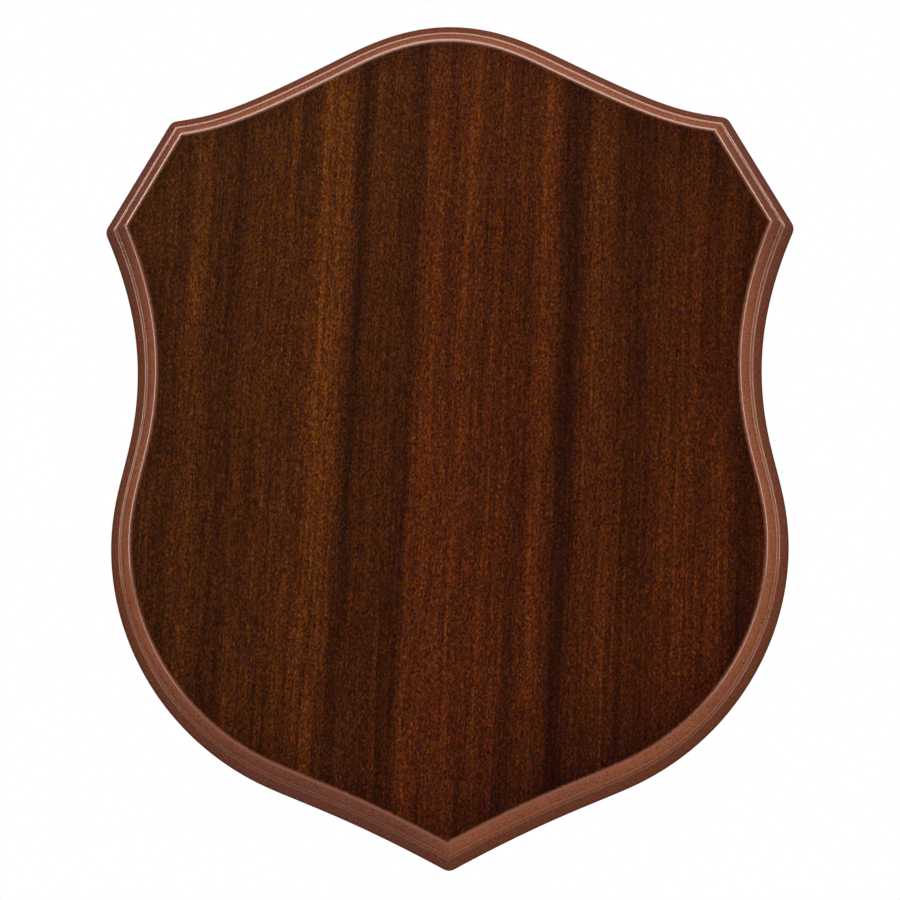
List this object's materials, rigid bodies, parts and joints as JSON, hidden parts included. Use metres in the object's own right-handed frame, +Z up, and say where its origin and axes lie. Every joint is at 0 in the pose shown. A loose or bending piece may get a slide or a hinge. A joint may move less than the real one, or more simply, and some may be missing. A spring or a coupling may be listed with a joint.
{
  "type": "heraldic shield plaque",
  "caption": "Wall plaque cut as a heraldic shield, with a stepped and rounded moulding round its edge, a dark veneered face and a keyhole slot in its back.",
  "frame": {"origin": "middle of the flat back, where the plaque rests on the wall", "axes": "+Z up to the crest of the shield, -Y out of its face, +Y into the wall, +X to the right as seen from the front"},
  "size_m": [0.2192, 0.016, 0.269],
  "materials": {
    "stained_board": "fibreboard, stained reddish brown and lacquered satin, bare and flat on its back",
    "dark_veneer": "dark straight-grained veneer, stained and lacquered satin"
  },
  "bodies": {
    "root": {"board": "stained_board", "face_veneer": "dark_veneer"}
  },
  "joints": []
}
